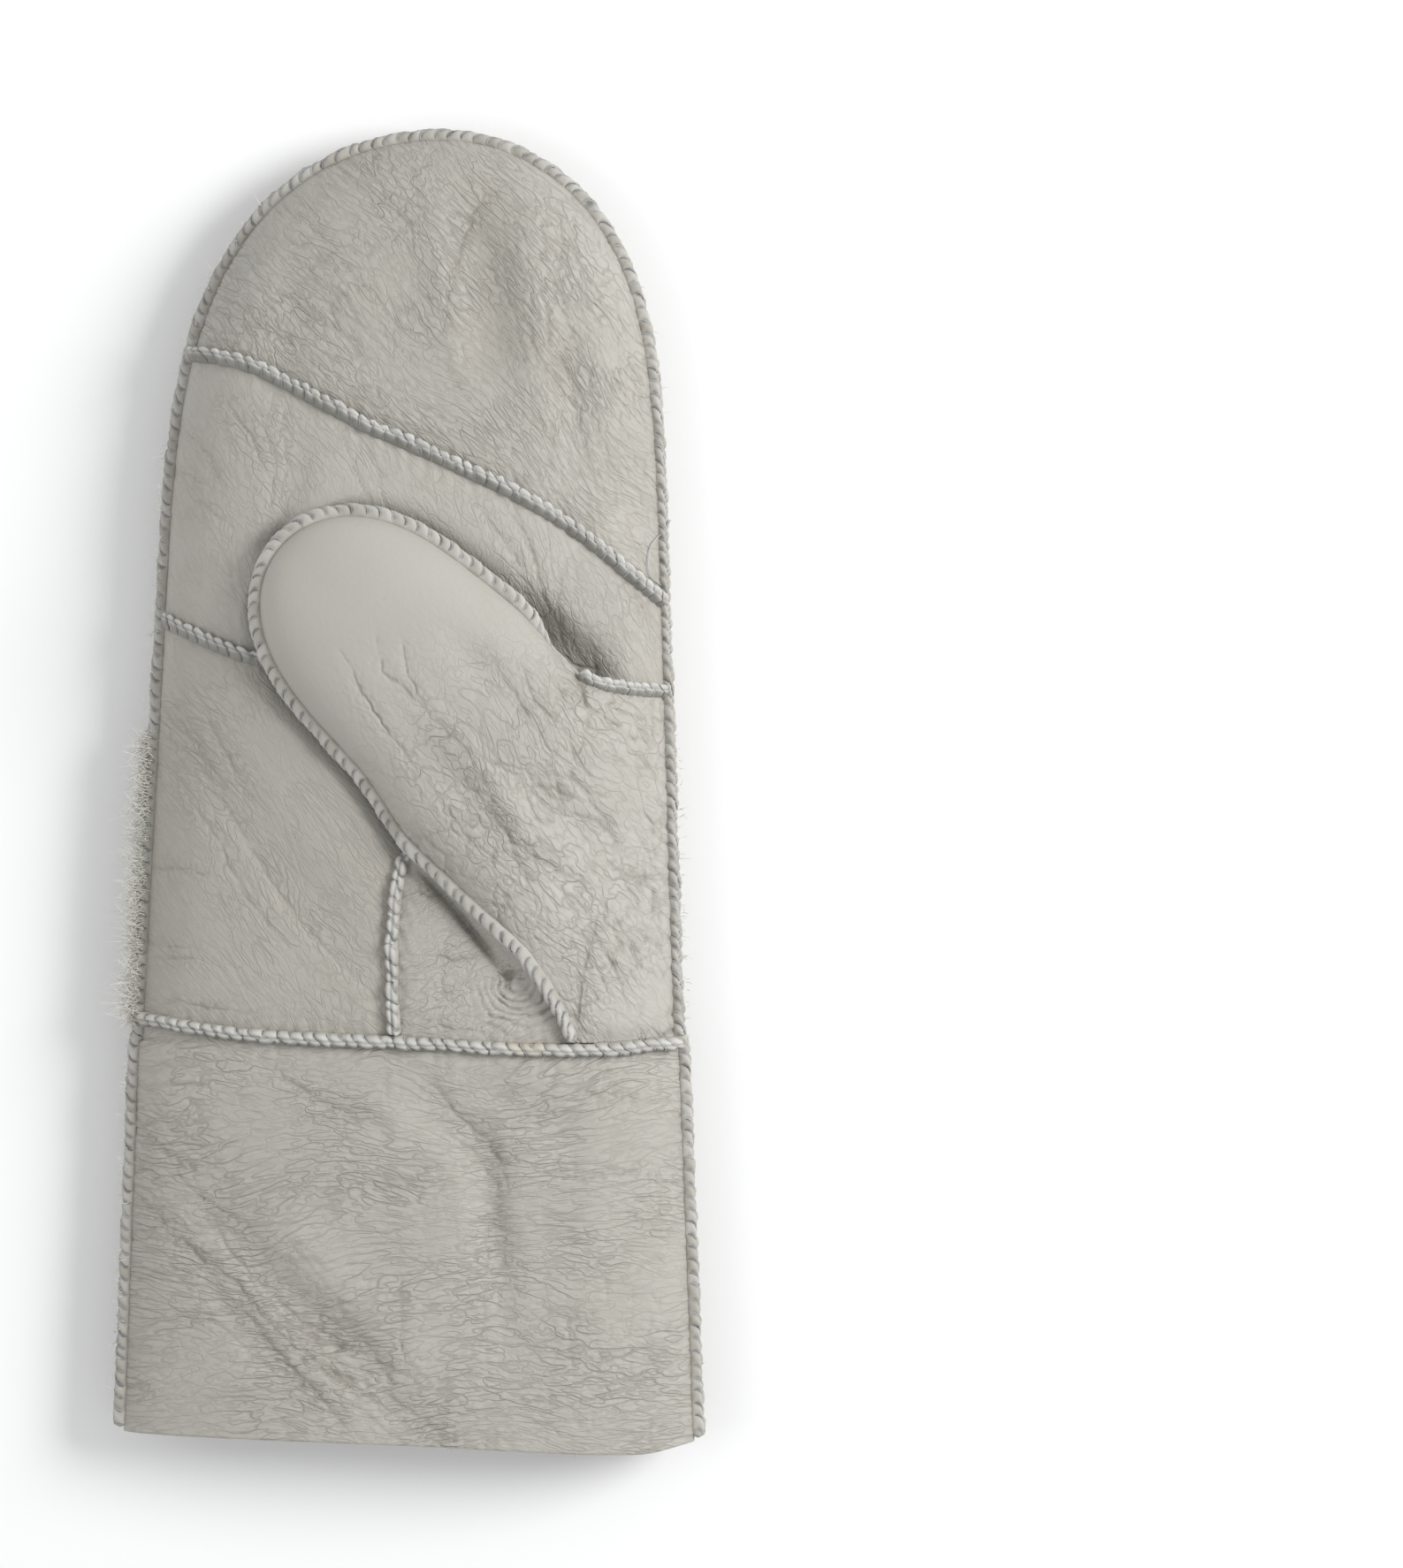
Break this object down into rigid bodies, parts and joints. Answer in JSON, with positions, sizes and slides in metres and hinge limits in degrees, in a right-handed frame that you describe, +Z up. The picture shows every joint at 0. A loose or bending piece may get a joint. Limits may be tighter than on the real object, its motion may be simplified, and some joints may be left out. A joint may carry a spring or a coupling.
{
  "type": "leather mitten",
  "caption": "Long-cuffed shearling mitten for the right hand, lying palm up with its thumb folded over the palm, sewn with raised overcast seams.",
  "frame": {"origin": "on the floor under the middle of the mitten's bounding box", "axes": "+Z up out of the palm, +Y from the cuff to the fingertip, +X to the thumb side"},
  "size_m": [0.1574, 0.35, 0.0482],
  "materials": {
    "leather": "soft pale grey leather with a creased grain",
    "overcast_edge": "raw leather edges overcast with grey thread",
    "wool": "clipped grey wool"
  },
  "bodies": {
    "root": {"palm_tip_panel": "leather", "palm_middle_panel": "leather", "palm_heel_panel": "leather", "gusset_panel": "leather", "thumb_front_panel": "leather", "thumb_back_panel": "leather", "back_left_panel": "leather", "back_right_panel": "leather", "cuff_palm_panel": "leather", "cuff_back_panel": "leather", "wool_lining": "wool", "seam_palm_upper": "overcast_edge", "seam_palm_lower": "overcast_edge", "seam_gusset": "overcast_edge", "seam_thumb": "overcast_edge", "seam_cuff_palm": "overcast_edge", "seam_cuff_back": "overcast_edge", "seam_back_middle": "overcast_edge", "seam_side": "overcast_edge", "seam_cuff_left": "overcast_edge", "seam_cuff_right": "overcast_edge"}
  },
  "joints": []
}
